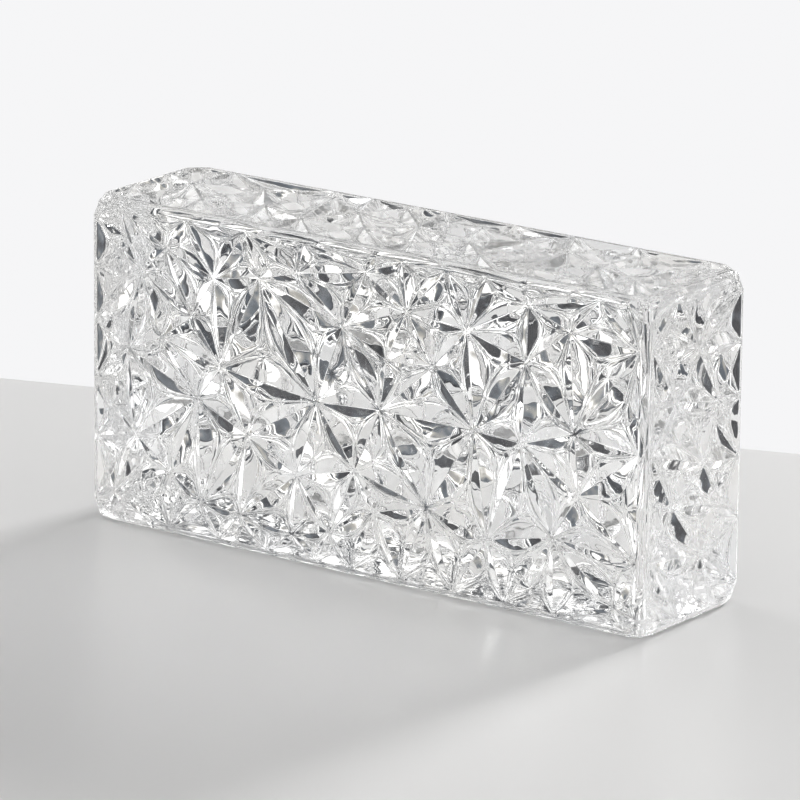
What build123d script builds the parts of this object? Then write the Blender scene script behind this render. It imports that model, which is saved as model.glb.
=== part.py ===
from build123d import *
import os
from scipy.spatial import Delaunay

# Solid brick of clear cast glass, stood on its long narrow side.
# X runs along its length, Y through its thickness and Z up, with the origin in the middle of the bed face.
# Its five open faces carry an irregular net of stars. A straight ridge runs from star to star, and each
# triangle between three ridges is sunk as a shallow pit with a flat floor, so every ridge shows as a petal of
# two facets with a crease down its middle. A rounded arris, in narrow facets, runs along all twelve edges, and
# near its ends it leans in towards a rounder corner.

# Driving dimensions, in millimetres
LENGTH = 200.0
THICKNESS = 50.0
HEIGHT = 100.0
ARRIS_RADIUS = 2.5
CORNER_REACH = 6.5
CORNER_EASE = 0.9
PIT_DEPTH = 2.2

# Fall of a petal's facets, as a share of the distance from its ridge
FALL_SHARE = 0.6

# Side of the flat floor of a pit, as a share of the side of its mouth
FLOOR_SHARE = 0.25

# Facets across the rounded arris
ARRIS_FACETS = 3

# Stars inside the broad faces, as shares of the face's length and height from its lower left corner
BROAD_STAR_SHARES = [
    (0.045, 0.097), (0.208, 0.122), (0.281, 0.112), (0.378, 0.087), (0.447, 0.119), (0.951, 0.084),
    (0.151, 0.198), (0.528, 0.213), (0.728, 0.204), (0.086, 0.290), (0.386, 0.272), (0.491, 0.322),
    (0.620, 0.258), (0.843, 0.252), (0.294, 0.360), (0.203, 0.440), (0.886, 0.391), (0.074, 0.551),
    (0.245, 0.550), (0.421, 0.507), (0.536, 0.521), (0.704, 0.519), (0.786, 0.511), (0.878, 0.569),
    (0.135, 0.605), (0.192, 0.689), (0.547, 0.672), (0.630, 0.683), (0.468, 0.750), (0.792, 0.753),
    (0.098, 0.794), (0.232, 0.816), (0.316, 0.843), (0.582, 0.830), (0.689, 0.811), (0.142, 0.879),
    (0.385, 0.881), (0.868, 0.865), (0.508, 0.923), (0.796, 0.921),
]

# Stars inside the end faces, as shares of the face's width and height from its lower left corner
END_STAR_SHARES = [
    (0.58, 0.19), (0.27, 0.37), (0.76, 0.32), (0.59, 0.46), (0.30, 0.67), (0.73, 0.63), (0.52, 0.81),
]

# Stars inside the top face, as shares of its length and thickness from its front left corner
TOP_STAR_SHARES = [
    (0.077, 0.587), (0.150, 0.300), (0.185, 0.730), (0.245, 0.420), (0.296, 0.811), (0.335, 0.300),
    (0.380, 0.620), (0.440, 0.350), (0.421, 0.880), (0.500, 0.560), (0.545, 0.250), (0.575, 0.780),
    (0.610, 0.450), (0.665, 0.250), (0.698, 0.800), (0.754, 0.620), (0.765, 0.200), (0.835, 0.450),
    (0.850, 0.800), (0.919, 0.330), (0.935, 0.680),
]

# Stars along the arrises of a broad face, as shares of that edge from its left or lower end
BROAD_FOOT_SHARES = [0.150, 0.244, 0.330, 0.420, 0.487, 0.575, 0.669, 0.760, 0.846]
BROAD_HEAD_SHARES = [0.057, 0.181, 0.288, 0.397, 0.523, 0.573, 0.653, 0.723, 0.918]
BROAD_LEFT_SHARES = [0.26, 0.44, 0.62, 0.78]
BROAD_RIGHT_SHARES = [0.228, 0.545, 0.849]

# Stars along the foot and head of an end face, as shares of that edge from its left end
END_FOOT_SHARES = [0.35, 0.68]
END_HEAD_SHARES = [0.30, 0.64]

half_length = LENGTH / 2
half_thickness = THICKNESS / 2

front = Plane((-half_length, -half_thickness, 0), x_dir=(1, 0, 0), z_dir=(0, -1, 0))
right_end = Plane((half_length, -half_thickness, 0), x_dir=(0, 1, 0), z_dir=(1, 0, 0))
back = Plane((half_length, half_thickness, 0), x_dir=(-1, 0, 0), z_dir=(0, 1, 0))
left_end = Plane((-half_length, half_thickness, 0), x_dir=(0, -1, 0), z_dir=(-1, 0, 0))
top = Plane((-half_length, -half_thickness, HEIGHT), x_dir=(1, 0, 0), z_dir=(0, 0, 1))
up = Vector(0, 0, 1)


def from_far_end(shares):
    """The same places along an edge, counted from its other end."""
    return [1 - share for share in shares]


def along_edge(shares, size):
    """Shares of all stars along an edge: those at its ends, those where its corners begin, and the rest."""
    reach = CORNER_REACH / size
    return [0, reach, *shares, 1 - reach, 1]


def on_edges(foot, head, left, right):
    """Shares of the stars along a face's four edges and at its corners."""
    level = [(u, 0) for u in foot] + [(u, 1) for u in head]
    upright = [(0, v) for v in left[1:-1]] + [(1, v) for v in right[1:-1]]
    return level + upright


def star_point(plane, width, height, u, v):
    """The place of a star on a face. It is kept clear of the rounded arrises, and one at a corner is eased
    inwards along all three axes, but on the bed it stays level."""
    ease = CORNER_EASE if u in (0, 1) and v in (0, 1) else 0
    side = ARRIS_RADIUS + ease
    foot = side if plane is top else ARRIS_RADIUS
    x = max(side, min(width - side, u * width))
    y = max(foot, min(height - side, v * height))
    return plane.from_local_coords(Vector(x, y, -ease))


def facet(*corners):
    """A flat facet, with its corners in order round it."""
    with BuildLine() as outline:
        Polyline(*corners, close=True)
    return Face(outline.wire())


def pit_facets(a, b, c):
    """The three flanks and the flat floor of the pit between three stars, its floor under the in-centre."""
    side_a, side_b, side_c = (b - c).length, (c - a).length, (a - b).length
    middle = (a * side_a + b * side_b + c * side_c) / (side_a + side_b + side_c)
    across = (b - a).cross(c - a)
    in_radius = across.length / (side_a + side_b + side_c)
    flank_width = in_radius * (1 - FLOOR_SHARE)
    sink = across.normalized() * min(PIT_DEPTH, FALL_SHARE * flank_width)
    floor_a, floor_b, floor_c = [middle + (corner - middle) * FLOOR_SHARE - sink for corner in (a, b, c)]
    flanks = [facet(a, b, floor_b, floor_a), facet(b, c, floor_c, floor_b), facet(c, a, floor_a, floor_c)]
    return [*flanks, facet(floor_a, floor_b, floor_c)]


def star_face(plane, width, height, shares):
    """All facets of one face: a pit in each triangle between its stars."""
    stars = [star_point(plane, width, height, u, v) for u, v in shares]
    places = [plane.to_local_coords(star) for star in stars]
    facets = []
    for triangle in Delaunay([(spot.X, spot.Y) for spot in places]).simplices:
        facets += pit_facets(*[stars[corner] for corner in triangle])
    return facets


def arris_core(plane, width, u, v):
    """The point under a star on a face's rim that its arris is rounded about."""
    return star_point(plane, width, HEIGHT, u, v) - plane.z_dir * ARRIS_RADIUS


def arris(cores, first, second):
    """The narrow facets of a rounded edge, round the line of its core points, from one normal to the next."""
    leans = [first * (ARRIS_FACETS - step) + second * step for step in range(ARRIS_FACETS + 1)]
    rims = [lean.normalized() * ARRIS_RADIUS for lean in leans]
    facets = []
    for near, far in zip(cores, cores[1:]):
        facets += [facet(near + low, far + low, far + high, near + high) for low, high in zip(rims, rims[1:])]
    return facets


def rounded_corner(core, first, second, third):
    """The small facets of a rounded corner, round its core point, between three normals."""

    def spot(i, j):
        lean = first * (ARRIS_FACETS - i - j) + second * i + third * j
        return core + lean.normalized() * ARRIS_RADIUS

    facets = []
    for i in range(ARRIS_FACETS):
        for j in range(ARRIS_FACETS - i):
            facets.append(facet(spot(i, j), spot(i + 1, j), spot(i, j + 1)))
            if i + j < ARRIS_FACETS - 1:
                facets.append(facet(spot(i + 1, j), spot(i + 1, j + 1), spot(i, j + 1)))
    return facets


broad_foot = along_edge(BROAD_FOOT_SHARES, LENGTH)
broad_head = along_edge(BROAD_HEAD_SHARES, LENGTH)
broad_left = along_edge(BROAD_LEFT_SHARES, HEIGHT)
broad_right = along_edge(BROAD_RIGHT_SHARES, HEIGHT)
end_foot = along_edge(END_FOOT_SHARES, THICKNESS)
end_head = along_edge(END_HEAD_SHARES, THICKNESS)

broad_shares = BROAD_STAR_SHARES + on_edges(broad_foot, broad_head, broad_left, broad_right)
end_shares = END_STAR_SHARES + on_edges(end_foot, end_head, broad_right, broad_left)
top_shares = TOP_STAR_SHARES + on_edges(
    broad_head, from_far_end(broad_head), from_far_end(end_head), end_head
)

skin = star_face(top, LENGTH, THICKNESS, top_shares)
bed_corners = []
for plane, width, star_shares, foot_shares, head_shares, side_shares in (
    (front, LENGTH, broad_shares, broad_foot, broad_head, broad_right),
    (right_end, THICKNESS, end_shares, end_foot, end_head, broad_left),
    (back, LENGTH, broad_shares, broad_foot, broad_head, broad_right),
    (left_end, THICKNESS, end_shares, end_foot, end_head, broad_left),
):
    skin += star_face(plane, width, HEIGHT, star_shares)

    # The rounded arrises along its foot, its head and its right side, and the corners at their ends
    foot = [arris_core(plane, width, u, 0) for u in foot_shares]
    head = [arris_core(plane, width, u, 1) for u in head_shares]
    side = [arris_core(plane, width, 1, v) for v in side_shares]
    skin += arris(foot, plane.z_dir, -up)
    skin += arris(head, plane.z_dir, up)
    skin += arris(side, plane.z_dir, plane.x_dir)
    skin += rounded_corner(side[0], plane.z_dir, plane.x_dir, -up)
    skin += rounded_corner(side[-1], plane.z_dir, plane.x_dir, up)
    bed_corners += [spot - up * ARRIS_RADIUS for spot in foot[:-1]]

# Glass block: the star faces, the arrises and the flat bed face close one solid
with BuildPart() as glass_block:
    skin.append(facet(*bed_corners))
    add(Solid(Shell(skin)))

os.makedirs("parts", exist_ok=True)
glass_block.part.label = "glass_block"
export_step(glass_block.part, "parts/glass_block.step")
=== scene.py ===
import itertools
import math

import bpy
import numpy as np
from mathutils import Matrix, Vector


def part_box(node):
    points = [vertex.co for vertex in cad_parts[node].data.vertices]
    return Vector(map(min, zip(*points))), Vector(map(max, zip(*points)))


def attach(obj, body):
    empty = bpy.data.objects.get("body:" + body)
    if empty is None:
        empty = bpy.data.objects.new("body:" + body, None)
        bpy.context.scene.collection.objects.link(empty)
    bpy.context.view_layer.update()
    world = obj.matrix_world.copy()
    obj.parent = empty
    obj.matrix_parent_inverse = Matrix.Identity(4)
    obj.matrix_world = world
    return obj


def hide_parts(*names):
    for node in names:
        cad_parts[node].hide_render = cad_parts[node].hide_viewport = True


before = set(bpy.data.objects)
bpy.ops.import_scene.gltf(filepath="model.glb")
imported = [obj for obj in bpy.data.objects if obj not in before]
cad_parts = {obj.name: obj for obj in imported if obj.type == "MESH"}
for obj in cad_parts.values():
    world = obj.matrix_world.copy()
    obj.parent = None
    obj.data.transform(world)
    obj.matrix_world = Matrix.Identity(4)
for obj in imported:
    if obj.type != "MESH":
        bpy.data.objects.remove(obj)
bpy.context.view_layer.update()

# Sizes of the block, in metres as all lengths here, from the frame
block_low, block_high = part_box("glass_block")
LENGTH, THICKNESS, HEIGHT = block_high - block_low

HALF_LENGTH = LENGTH / 2
HALF_THICKNESS = THICKNESS / 2

# The ridges of the petals lie on the block's faces. A rounded arris runs along all its edges, and near its
# ends it leans in towards a rounder corner
ARRIS_RADIUS = 0.0025
CORNER_REACH = 0.0065
CORNER_EASE = 0.0009

# Greatest depth of a pit, and the fall of its flanks as a share of the distance from the ridge
PIT_DEPTH = 0.0022
FALL_SHARE = 0.6

# Flat floor of a pit, as a share of its mouth, and how far the petals' round sides bow into it
FLOOR_SHARE = 0.25
BOW_SHARE = 0.3

# A round bead runs along each outline. Flanks are a little hollow, and ridges and hubs come soft out of the
# mould
SCOOP_SHARE = 0.1
BEAD_HALF_WIDTH = 0.0005
BEAD_HEIGHT = 0.0003
BEAD_SHARE = 0.5
RIDGE_SOFT = 0.00014
HUB_RADIUS = 0.0011

# Points that round to the same place on a grid of this spacing are one
MERGE_GRID = 0.000002

# Twice the area, in square metres, under which three stars stand in line, the slack for stars on one circle,
# and a length too short to matter
LEAST_AREA = 1e-9
CIRCLE_SLACK = 1e-9
LEAST_SPAN = 1e-9

# Columns of each half petal's grid: beside either end of its ridge, and along the bowed part of its outline
VALLEY_COLUMNS = 3
RIM_COLUMNS = 4

# Its rows: their distances from the ridge, their shares of the flank, and their distances from the outline on
# the flank and on the pit's floor. On flanks and floors narrower than these widths the rows draw together
RIDGE_ROWS = np.array([0, 0.00012, 0.00032])
FLANK_ROW_SHARES = np.array([0.33, 0.67])
BEAD_ROWS = np.array([0.0004, 0.0002, 0])
FLOOR_ROWS = np.array([0.0002, 0.0004])
NARROW_WIDTH = 0.0013
NARROW_FLOOR = 0.0008

# Share of a ridge that lies before the bowed part of the outline beside it
RIM_START_SHARE = 0.36

# Facets across a rounded arris
ARRIS_STEPS = 8

# Stars inside the broad faces, as shares of the face's length and height from its lower left corner
BROAD_STAR_SHARES = [
    (0.045, 0.097), (0.208, 0.122), (0.281, 0.112), (0.378, 0.087), (0.447, 0.119), (0.951, 0.084),
    (0.151, 0.198), (0.528, 0.213), (0.728, 0.204), (0.086, 0.290), (0.386, 0.272), (0.491, 0.322),
    (0.620, 0.258), (0.843, 0.252), (0.294, 0.360), (0.203, 0.440), (0.886, 0.391), (0.074, 0.551),
    (0.245, 0.550), (0.421, 0.507), (0.536, 0.521), (0.704, 0.519), (0.786, 0.511), (0.878, 0.569),
    (0.135, 0.605), (0.192, 0.689), (0.547, 0.672), (0.630, 0.683), (0.468, 0.750), (0.792, 0.753),
    (0.098, 0.794), (0.232, 0.816), (0.316, 0.843), (0.582, 0.830), (0.689, 0.811), (0.142, 0.879),
    (0.385, 0.881), (0.868, 0.865), (0.508, 0.923), (0.796, 0.921),
]

# Stars inside the end faces, as shares of the face's width and height from its lower left corner
END_STAR_SHARES = [
    (0.58, 0.19), (0.27, 0.37), (0.76, 0.32), (0.59, 0.46), (0.30, 0.67), (0.73, 0.63), (0.52, 0.81),
]

# Stars inside the top face, as shares of its length and thickness from its front left corner
TOP_STAR_SHARES = [
    (0.077, 0.587), (0.150, 0.300), (0.185, 0.730), (0.245, 0.420), (0.296, 0.811), (0.335, 0.300),
    (0.380, 0.620), (0.440, 0.350), (0.421, 0.880), (0.500, 0.560), (0.545, 0.250), (0.575, 0.780),
    (0.610, 0.450), (0.665, 0.250), (0.698, 0.800), (0.754, 0.620), (0.765, 0.200), (0.835, 0.450),
    (0.850, 0.800), (0.919, 0.330), (0.935, 0.680),
]

# Stars on the edges of a broad face, as shares of that edge from its left or lower end
BROAD_FOOT_SHARES = [0.150, 0.244, 0.330, 0.420, 0.487, 0.575, 0.669, 0.760, 0.846]
BROAD_HEAD_SHARES = [0.057, 0.181, 0.288, 0.397, 0.523, 0.573, 0.653, 0.723, 0.918]
BROAD_LEFT_SHARES = [0.26, 0.44, 0.62, 0.78]
BROAD_RIGHT_SHARES = [0.228, 0.545, 0.849]

# Stars on the foot and head of an end face, as shares of that edge from its left end
END_FOOT_SHARES = [0.35, 0.68]
END_HEAD_SHARES = [0.30, 0.64]

# Clear glass, with the heights and the noise scales of its ripple and its streaks
GLASS_IOR = 1.5
RIPPLE_HEIGHT = 0.0003
RIPPLE_SCALE = 150
STREAK_HEIGHT = 0.0001
STREAK_SCALE = 60
STREAK_STRETCH = (1, 9, 1)

# Its tint, as a value of the noise and the colour there, and the values of the noise over which its polish
# fades from one roughness to another
TINT_SCALE = 45
COOL_TINT = (0.35, (0.972, 0.98, 0.99, 1))
WARM_TINT = (0.65, (0.99, 0.986, 0.972, 1))
POLISH_SCALE = 90
POLISH_NOISE = (0.4, 0.75)
POLISH_ROUGHNESS = (0.0, 0.03)

# The floor lies a hair under the bed. In plan, its far edge runs along one direction, and the floor reaches
# away from it towards the camera
FLOOR_LEVEL = -0.0002
FLOOR_REACH = 4
FLOOR_EDGE_MIDDLE = np.array([-0.095, 0.122])
FLOOR_EDGE_ALONG = np.array([0.946, 0.323])
FLOOR_AWAY = np.array([0.323, -0.946])
FLOOR_COLOUR = (0.72, 0.715, 0.71, 1)
FLOOR_ROUGHNESS = 0.35

# Bands of soft light all round: their number, their phase, their slant and their tones from dark to light. The
# backdrop is the plain tone that the camera sees in their place
BAND_COUNT = 10
BAND_PHASE = 2.8
BAND_SLANT = 8.0
BAND_TONES = [
    (0, (0.045, 0.045, 0.05)),
    (0.45, (0.17, 0.19, 0.215)),
    (0.75, (0.5, 0.48, 0.44)),
    (1, (2.0, 2.0, 2.0)),
]
BACKDROP_TONE = (0.92, 0.92, 0.93)

# Square soft boxes, each with its azimuth and elevation in degrees, its side and its radiance
LIGHT_DISTANCE = 2.0
SOFT_BOXES = {
    "key": (4, 24, 0.4, 72),
    "side_fill": (-80, 30, 0.8, 4),
}

# The camera, from a fit to the block's corners in the photograph's frame of 800 by 800 pixels
VIEW_AZIMUTH = math.radians(36.2)
VIEW_ELEVATION = math.radians(15.7)
VIEW_ROLL = math.radians(0.56)
VIEW_DISTANCE = 1.935
VIEW_ACROSS = -0.00315
VIEW_UP = -0.0015
FOCAL_PIXELS = 6615
FRAME_PIXELS = 800
SENSOR_MM = 36

# How often light may turn on its way through the glass, and off it
GLASS_BOUNCES = 32
GLOSS_BOUNCES = 16


def from_far_end(shares):
    """The same places along an edge, counted from its other end."""
    return 1 - shares


def along_edge(shares, size):
    """Shares of all stars along an edge: those at its ends, those where its corners begin, and the rest."""
    reach = CORNER_REACH / size
    return np.array([0, reach, *shares, 1 - reach, 1])


def with_edges(inside, foot, head, left, right):
    """All stars of a face as an array of shares: those inside it, on its four edges and at its corners."""
    level = [(u, 0) for u in foot] + [(u, 1) for u in head]
    upright = [(0, v) for v in left[1:-1]] + [(1, v) for v in right[1:-1]]
    return np.array(inside + level + upright, float)


def joined_stars(places):
    """Triangles between neighbouring stars. Three stars are joined when the circle through them holds no
    other star. Its centre is where the perpendicular bisectors of two sides cross."""
    trios = np.array(list(itertools.combinations(range(len(places)), 3)))
    a, b, c = places[trios[:, 0]], places[trios[:, 1]], places[trios[:, 2]]
    ab, ac = b - a, c - a
    area = ab[:, 0] * ac[:, 1] - ab[:, 1] * ac[:, 0]
    keep = np.abs(area) > LEAST_AREA
    trios, a, ab, ac, area = trios[keep], a[keep], ab[keep], ac[keep], area[keep]
    ab_square, ac_square = (ab**2).sum(1), (ac**2).sum(1)
    offset_x = (ac[:, 1] * ab_square - ab[:, 1] * ac_square) / (2 * area)
    offset_y = (ab[:, 0] * ac_square - ac[:, 0] * ab_square) / (2 * area)
    offset = np.stack([offset_x, offset_y], 1)
    square = (offset**2).sum(1)
    reach = ((places[None] - (a + offset)[:, None]) ** 2).sum(2)
    empty = (reach > square[:, None] * (1 - CIRCLE_SLACK)).all(1)
    trios, area = trios[empty], area[empty]
    return np.where(area[:, None] > 0, trios, trios[:, [0, 2, 1]])


def star_places(shares, width, height, on_bed):
    """Places of stars across a face, up it and out of it. They are kept clear of the rounded arrises, and a
    star at a corner is eased inwards along all three axes, but on the bed it stays level."""
    ease = CORNER_EASE * np.isin(shares, (0, 1)).all(-1)
    side = ARRIS_RADIUS + ease
    foot = ARRIS_RADIUS if on_bed else side
    x = np.clip(shares[..., 0] * width, side, width - side)
    y = np.clip(shares[..., 1] * height, foot, height - side)
    return np.stack([x, y, -ease], -1)


def turned(face, points):
    """Points given across a face, up it and out of it, as places in the block's frame."""
    origin, across, up, out = (np.array(v, float) for v in face)
    return origin + points[..., :1] * across + points[..., 1:2] * up + points[..., 2:] * out


def column_shares():
    """Where a half petal's columns stand on its ridge, as shares of the way from star to star."""
    to_corner = np.linspace(0, RIM_START_SHARE, VALLEY_COLUMNS + 1)
    along_rim = np.linspace(RIM_START_SHARE, 1 - RIM_START_SHARE, RIM_COLUMNS + 1)[1:-1]
    return np.concatenate([to_corner, along_rim, 1 - to_corner[::-1]])


def half_petals(places):
    """Grids of points on all half petals of a face, each with its third of the pit's floor. One parameter
    runs from star to star. The other runs from the ridge, on the face, down a flank to the petal's outline,
    and on over the floor to the in-centre. The outline goes from each star to a corner of the floor, and
    bows from corner to corner by a parabola. A flank's fall is a mean of a straight line and a sine, rounded
    at the ridge by a hyperbola, and fades in round each star by a smooth step. A bead, the square of a
    cosine, stands along the outline."""
    trios = joined_stars(places[:, :2])
    corners = places[np.concatenate([trios, trios[:, [1, 2, 0]], trios[:, [2, 0, 1]]])]
    a, b, c = corners[:, 0], corners[:, 1], corners[:, 2]
    lengths = np.stack([np.linalg.norm(side, axis=1) for side in (b - c, c - a, a - b)], 1)
    around = lengths.sum(1, keepdims=True)
    centre = np.einsum("hi,hid->hd", lengths / around, corners)
    double_area = (b - a)[:, 0] * (c - a)[:, 1] - (b - a)[:, 1] * (c - a)[:, 0]
    depth = np.minimum(PIT_DEPTH, FALL_SHARE * (1 - FLOOR_SHARE) * double_area / around[:, 0])

    # The outline in plan, the ridge, and the width of the flank between them
    to_corner = np.linspace(0, 1, VALLEY_COLUMNS + 1)
    along_rim = np.linspace(0, 1, RIM_COLUMNS + 1)[1:-1]
    way = np.concatenate([to_corner, np.ones(RIM_COLUMNS - 1), to_corner[::-1]])
    side = np.concatenate([np.zeros(VALLEY_COLUMNS + 1), along_rim, np.ones(VALLEY_COLUMNS + 1)])
    bow = 4 * side * (1 - side)
    floor_a, floor_b = (centre + (star - centre) * FLOOR_SHARE for star in (a, b))
    rim = floor_a[:, None] * (1 - side)[:, None] + floor_b[:, None] * side[:, None]
    rim = rim + (centre[:, None] - rim) * (BOW_SHARE * bow)[:, None]
    star = np.where((side < 0.5)[:, None], a[:, None], b[:, None])
    outline = star + (rim - star) * way[:, None]
    along = column_shares()[:, None]
    ridge = a[:, None] * (1 - along) + b[:, None] * along
    span = np.linalg.norm(outline - ridge, axis=-1)[..., None] + LEAST_SPAN

    # Rows across the flank
    squeeze = np.minimum(1, span / NARROW_WIDTH)
    near_ridge = RIDGE_ROWS * squeeze
    near_outline = span - BEAD_ROWS * squeeze
    flank_rows = near_ridge[..., -1:] * (1 - FLANK_ROW_SHARES) + near_outline[..., :1] * FLANK_ROW_SHARES
    from_ridge = np.concatenate([near_ridge, flank_rows, near_outline], -1)
    row = (from_ridge / span)[..., None]
    flank = ridge[:, :, None] * (1 - row) + outline[:, :, None] * row

    # Height of the flank
    soft = RIDGE_SOFT * squeeze
    fall = (np.sqrt(from_ridge**2 + soft**2) - soft) / (np.sqrt(span**2 + soft**2) - soft)
    fall = (1 - SCOOP_SHARE) * fall + SCOOP_SHARE * np.sin(fall * math.pi / 2)
    arm = np.linalg.norm(corners - centre[:, None], axis=2).mean(1)
    hub = np.clip(way * arm[:, None] / HUB_RADIUS, 0, 1)[..., None]
    hub = hub**2 * (3 - 2 * hub)
    sunk = depth[:, None, None] * way[:, None] * hub
    bead = np.minimum(BEAD_HEIGHT, BEAD_SHARE * sunk)
    across = np.clip((span - from_ridge) / np.minimum(BEAD_HALF_WIDTH, span), 0, 1)
    flank[..., 2] += bead * np.cos(across * math.pi / 2) ** 2 - sunk * fall

    # The pit's floor, from the bowed part of the outline to the in-centre
    rim, bead, sunk = outline[:, way == 1], bead[:, way == 1], sunk[:, way == 1]
    inner = np.linalg.norm(centre[:, None] - rim, axis=-1)[..., None]
    from_outline = np.concatenate([0 * inner, FLOOR_ROWS * np.minimum(1, inner / NARROW_FLOOR), inner], -1)
    row = (from_outline / inner)[..., None]
    floor = rim[:, :, None] * (1 - row) + centre[:, None, None] * row
    across = np.clip(from_outline / np.minimum(BEAD_HALF_WIDTH, inner), 0, 1)
    floor[..., 2] += bead * np.cos(across * math.pi / 2) ** 2 - sunk
    return flank, floor


def arris_strips(cores, first, second):
    """Grids of points on a rounded edge, one for each stretch between two stars. One parameter runs along the
    stretch, the other turns the radius from one face's normal to the next."""
    share = column_shares()[:, None]
    line = cores[:-1, None] * (1 - share) + cores[1:, None] * share
    angle = np.linspace(0, math.pi / 2, ARRIS_STEPS + 1)[:, None]
    radius = ARRIS_RADIUS * (np.cos(angle) * np.array(first) + np.sin(angle) * np.array(second))
    return line[:, :, None] + radius


def rounded_corner(core, first, second, third):
    """A grid of points on a rounded corner. One parameter turns the radius from the first normal to the
    second, the other lifts it to the third."""
    angle = np.linspace(0, math.pi / 2, ARRIS_STEPS + 1)
    turn, lift = angle[:, None, None], angle[None, :, None]
    level = np.cos(turn) * np.array(first) + np.sin(turn) * np.array(second)
    radius = np.cos(lift) * level + np.sin(lift) * np.array(third)
    return (core + ARRIS_RADIUS * radius)[None]


def grid_faces(grids):
    """Points and four-cornered faces of grids of points, given as grid, column, row and place."""
    index = np.arange(grids.size // 3).reshape(grids.shape[:3])
    quads = np.stack([index[:, :-1, :-1], index[:, 1:, :-1], index[:, 1:, 1:], index[:, :-1, 1:]], -1)
    return grids.reshape(-1, 3), quads.reshape(-1, 4)


def closed_mesh(name, points, quads, rim):
    """A mesh from points, four-cornered faces and one many-cornered face round a rim. Points in the same
    place become one, and faces that this leaves with three corners become triangles."""
    cells = np.round(points / MERGE_GRID).astype(np.int64)
    _, first, place = np.unique(cells, axis=0, return_index=True, return_inverse=True)
    place = place.reshape(-1)
    quads, rim = place[quads], place[rim]
    same = quads == np.roll(quads, -1, axis=1)
    whole = quads[~same.any(1)]
    narrow = same.sum(1) == 1
    triangles = quads[narrow][~same[narrow]].reshape(-1, 3)
    rim = rim[rim != np.roll(rim, -1)]
    mesh = bpy.data.meshes.new(name)
    mesh.from_pydata(points[first], [], [*whole.tolist(), *triangles.tolist(), rim.tolist()])
    mesh.polygons.foreach_set("use_smooth", np.ones(len(mesh.polygons), bool))
    mesh.update()
    return mesh


def make_block():
    """The whole block as one closed mesh: the petals of its five open faces, the rounded arrises and corners,
    and the flat bed."""
    broad_foot, broad_head = along_edge(BROAD_FOOT_SHARES, LENGTH), along_edge(BROAD_HEAD_SHARES, LENGTH)
    broad_left, broad_right = along_edge(BROAD_LEFT_SHARES, HEIGHT), along_edge(BROAD_RIGHT_SHARES, HEIGHT)
    end_foot, end_head = along_edge(END_FOOT_SHARES, THICKNESS), along_edge(END_HEAD_SHARES, THICKNESS)
    broad = with_edges(BROAD_STAR_SHARES, broad_foot, broad_head, broad_left, broad_right)
    end = with_edges(END_STAR_SHARES, end_foot, end_head, broad_right, broad_left)
    top = with_edges(
        TOP_STAR_SHARES, broad_head, from_far_end(broad_head), from_far_end(end_head), end_head
    )

    # Each face is its lower left corner, its directions across and up, and its normal
    x, y, up, down = HALF_LENGTH, HALF_THICKNESS, (0, 0, 1), (0, 0, -1)
    front_face = ((-x, -y, 0), (1, 0, 0), up, (0, -1, 0))
    right_face = ((x, -y, 0), (0, 1, 0), up, (1, 0, 0))
    back_face = ((x, y, 0), (-1, 0, 0), up, (0, 1, 0))
    left_face = ((-x, y, 0), (0, -1, 0), up, (-1, 0, 0))
    top_face = ((-x, -y, HEIGHT), (1, 0, 0), (0, 1, 0), up)
    top_places = star_places(top, LENGTH, THICKNESS, False)
    grids = [turned(top_face, grid) for grid in half_petals(top_places)]
    bed = []
    for face, width, stars, foot, head, side in (
        (front_face, LENGTH, broad, broad_foot, broad_head, broad_right),
        (right_face, THICKNESS, end, end_foot, end_head, broad_left),
        (back_face, LENGTH, broad, broad_foot, broad_head, broad_right),
        (left_face, THICKNESS, end, end_foot, end_head, broad_left),
    ):
        _, across, _, out = face
        edges = [np.stack(np.broadcast_arrays(u, v), -1) for u, v in ((foot, 0), (head, 1), (1, side))]
        rims = [star_places(edge, width, HEIGHT, True) for edge in edges]
        foot_cores, head_cores, side_cores = (turned(face, rim - [0, 0, ARRIS_RADIUS]) for rim in rims)
        foot_arris = arris_strips(foot_cores, down, out)
        grids += [turned(face, grid) for grid in half_petals(star_places(stars, width, HEIGHT, True))]
        grids.append(foot_arris)
        grids.append(arris_strips(head_cores, out, up))
        grids.append(arris_strips(side_cores, across, out))
        grids.append(rounded_corner(side_cores[0], across, out, down))
        grids.append(rounded_corner(side_cores[-1], out, across, up))
        bed.append(foot_arris[:, :-1, 0].reshape(-1, 3))

    points, quads, count = [], [], 0
    for grid in grids:
        grid_points, grid_quads = grid_faces(grid)
        points.append(grid_points)
        quads.append(grid_quads + count)
        count += len(grid_points)
    bed = np.concatenate(bed)
    rim = count + np.arange(len(bed))[::-1]
    mesh = closed_mesh("star_relief", np.concatenate([*points, bed]), np.concatenate(quads), rim)
    block = bpy.data.objects.new("star_relief", mesh)
    bpy.context.scene.collection.objects.link(block)
    return block


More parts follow.
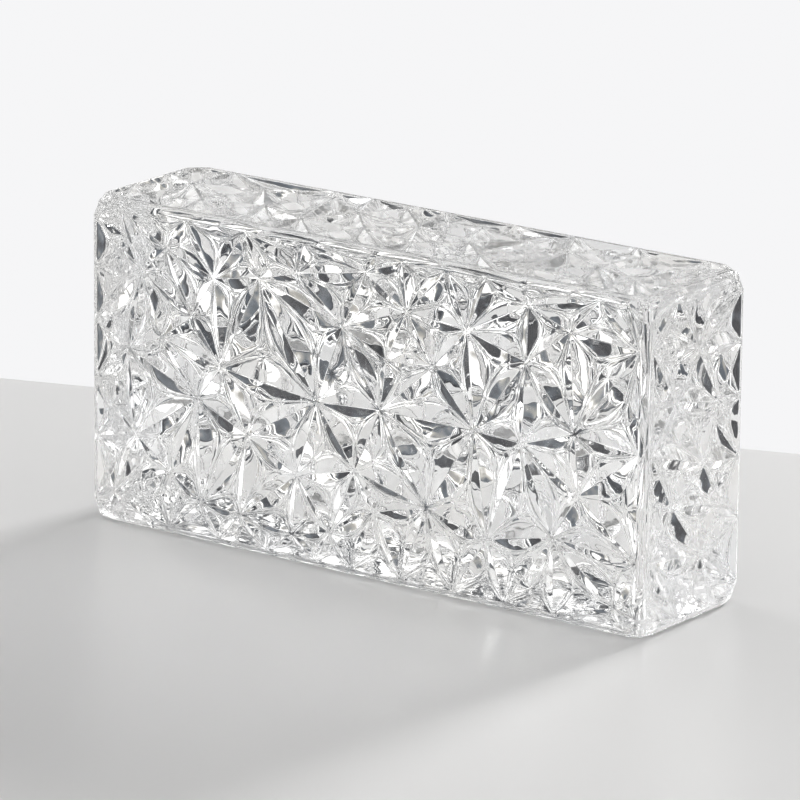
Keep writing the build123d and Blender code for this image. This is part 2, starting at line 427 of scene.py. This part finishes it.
def glass_material():
    """Clear cast glass. Two ripples of the mould stand on it: a gentle one all over, from noise about as wide
    as a petal, and fine streaks from noise drawn out along the block's length and height, so they run along
    the top and up the ends. Slow noise shifts its tint from cool to warm, and its polish a little."""
    material = bpy.data.materials.new("clear_glass")
    material.use_nodes = True
    nodes, links = material.node_tree.nodes, material.node_tree.links
    shader = nodes["Principled BSDF"]
    shader.inputs["IOR"].default_value = GLASS_IOR
    shader.inputs["Transmission Weight"].default_value = 1.0
    place = nodes.new("ShaderNodeTexCoord")

    def noise(scale, stretch=(1, 1, 1)):
        """Noise on the block's own coordinates, which are first multiplied by a stretch along each axis."""
        mapping = nodes.new("ShaderNodeMapping")
        mapping.inputs["Scale"].default_value = stretch
        texture = nodes.new("ShaderNodeTexNoise")
        texture.inputs["Scale"].default_value = scale
        texture.inputs["Detail"].default_value = 1
        links.new(place.outputs["Object"], mapping.inputs["Vector"])
        links.new(mapping.outputs["Vector"], texture.inputs["Vector"])
        return texture.outputs["Fac"]

    ripple = nodes.new("ShaderNodeBump")
    ripple.inputs["Distance"].default_value = RIPPLE_HEIGHT
    links.new(noise(RIPPLE_SCALE), ripple.inputs["Height"])
    streaks = nodes.new("ShaderNodeBump")
    streaks.inputs["Distance"].default_value = STREAK_HEIGHT
    links.new(noise(STREAK_SCALE, STREAK_STRETCH), streaks.inputs["Height"])
    links.new(ripple.outputs["Normal"], streaks.inputs["Normal"])
    links.new(streaks.outputs["Normal"], shader.inputs["Normal"])

    tint = nodes.new("ShaderNodeValToRGB")
    for stop, (position, colour) in zip(tint.color_ramp.elements, (COOL_TINT, WARM_TINT)):
        stop.position = position
        stop.color = colour
    links.new(noise(TINT_SCALE), tint.inputs["Fac"])
    links.new(tint.outputs["Color"], shader.inputs["Base Color"])
    polish = nodes.new("ShaderNodeMapRange")
    polish.inputs["From Min"].default_value, polish.inputs["From Max"].default_value = POLISH_NOISE
    polish.inputs["To Min"].default_value, polish.inputs["To Max"].default_value = POLISH_ROUGHNESS
    links.new(noise(POLISH_SCALE), polish.inputs["Value"])
    links.new(polish.outputs["Result"], shader.inputs["Roughness"])
    return material


def make_floor():
    """A plain pale floor, one flat face from an edge behind the block towards the camera."""
    half_edge = FLOOR_REACH * FLOOR_EDGE_ALONG
    rim = [FLOOR_EDGE_MIDDLE - half_edge, FLOOR_EDGE_MIDDLE + half_edge]
    rim = [*rim, rim[1] + FLOOR_REACH * FLOOR_AWAY, rim[0] + FLOOR_REACH * FLOOR_AWAY]
    mesh = bpy.data.meshes.new("floor")
    mesh.from_pydata([(*spot, FLOOR_LEVEL) for spot in rim], [], [(3, 2, 1, 0)])
    floor = bpy.data.objects.new("floor", mesh)
    bpy.context.scene.collection.objects.link(floor)
    material = bpy.data.materials.new("floor_paint")
    material.use_nodes = True
    shader = material.node_tree.nodes["Principled BSDF"]
    shader.inputs["Base Color"].default_value = FLOOR_COLOUR
    shader.inputs["Roughness"].default_value = FLOOR_ROUGHNESS
    mesh.materials.append(material)
    return floor


def studio_light(name, azimuth, elevation, side, radiance):
    """A square soft box on a ring about the block, facing its middle. Its azimuth, in degrees, is counted
    from behind the block towards its right end, and its power is its radiance times its area times pi."""
    turn, lift = math.radians(azimuth), math.radians(elevation)
    level = LIGHT_DISTANCE * math.cos(lift)
    height = HEIGHT / 2 + LIGHT_DISTANCE * math.sin(lift)
    place = Vector((level * math.sin(turn), level * math.cos(turn), height))
    data = bpy.data.lights.new(name, "AREA")
    data.shape = "SQUARE"
    data.size = side
    data.energy = radiance * math.pi * side * side
    light = bpy.data.objects.new(name, data)
    bpy.context.scene.collection.objects.link(light)
    light.location = place
    light.rotation_euler = (Vector((0, 0, HEIGHT / 2)) - place).to_track_quat("-Z", "Y").to_euler()


def studio_world():
    """Soft light from all round in slanted bands. The tone follows the sine of the azimuth times the number
    of bands, plus the height times the slant and a phase. The camera itself sees a plain pale backdrop."""
    world = bpy.data.worlds.new("studio")
    world.use_nodes = True
    nodes, links = world.node_tree.nodes, world.node_tree.links
    direction = nodes.new("ShaderNodeTexCoord")
    parts = nodes.new("ShaderNodeSeparateXYZ")
    links.new(direction.outputs["Generated"], parts.inputs["Vector"])

    def math_node(operation, *inputs):
        """The result of one operation on sockets and numbers."""
        node = nodes.new("ShaderNodeMath")
        node.operation = operation
        for socket, value in zip(node.inputs, inputs):
            if isinstance(value, bpy.types.NodeSocket):
                links.new(value, socket)
            else:
                socket.default_value = value
        return node.outputs["Value"]

    azimuth = math_node("ARCTAN2", parts.outputs["X"], parts.outputs["Y"])
    turned_bands = math_node("MULTIPLY_ADD", azimuth, BAND_COUNT, BAND_PHASE)
    slanted_bands = math_node("MULTIPLY_ADD", parts.outputs["Z"], BAND_SLANT, turned_bands)
    share = math_node("MULTIPLY_ADD", math_node("SINE", slanted_bands), 0.5, 0.5)
    tone = nodes.new("ShaderNodeValToRGB")
    stops = tone.color_ramp.elements
    while len(stops) < len(BAND_TONES):
        stops.new(0.5)
    for stop, (position, colour) in zip(stops, BAND_TONES):
        stop.position = position
        stop.color = (*colour, 1)
    links.new(share, tone.inputs["Fac"])
    seen = nodes.new("ShaderNodeLightPath")
    backdrop = nodes.new("ShaderNodeMix")
    backdrop.data_type = "RGBA"
    links.new(seen.outputs["Is Camera Ray"], backdrop.inputs["Factor"])
    links.new(tone.outputs["Color"], backdrop.inputs["A"])
    backdrop.inputs["B"].default_value = (*BACKDROP_TONE, 1)
    links.new(backdrop.outputs["Result"], nodes["Background"].inputs["Color"])
    bpy.context.scene.world = world


def make_camera():
    """A camera at the photograph's angle, turned about its own axis by the roll and moved a little across
    and up."""
    back = Vector((
        math.sin(VIEW_AZIMUTH) * math.cos(VIEW_ELEVATION),
        -math.cos(VIEW_AZIMUTH) * math.cos(VIEW_ELEVATION),
        math.sin(VIEW_ELEVATION),
    ))
    level_right = back.cross(Vector((0, 0, -1))).normalized()
    level_up = back.cross(level_right)
    right = math.cos(VIEW_ROLL) * level_right + math.sin(VIEW_ROLL) * level_up
    up = math.cos(VIEW_ROLL) * level_up - math.sin(VIEW_ROLL) * level_right
    data = bpy.data.cameras.new("camera")
    data.sensor_width = SENSOR_MM
    data.lens = FOCAL_PIXELS / FRAME_PIXELS * SENSOR_MM
    camera = bpy.data.objects.new("camera", data)
    bpy.context.scene.collection.objects.link(camera)
    place = Vector((0, 0, HEIGHT / 2)) + back * VIEW_DISTANCE + right * VIEW_ACROSS + up * VIEW_UP
    turn = Matrix((right, up, back)).transposed().to_4x4()
    camera.matrix_world = Matrix.Translation(place) @ turn
    bpy.context.scene.camera = camera


block = make_block()
block.data.materials.append(glass_material())
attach(block, "root")
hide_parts("glass_block")

floor = make_floor()

studio_world()
for name, settings in SOFT_BOXES.items():
    studio_light(name, *settings)
make_camera()

# Light turns many times inside the block, and passes through it to the floor
scene = bpy.context.scene
scene.cycles.max_bounces = GLASS_BOUNCES
scene.cycles.transmission_bounces = GLASS_BOUNCES
scene.cycles.glossy_bounces = GLOSS_BOUNCES
scene.cycles.transparent_max_bounces = GLOSS_BOUNCES
scene.cycles.caustics_refractive = True
scene.cycles.use_denoising = True
scene.cycles.denoiser = "OPENIMAGEDENOISE"
scene.view_settings.view_transform = "Standard"
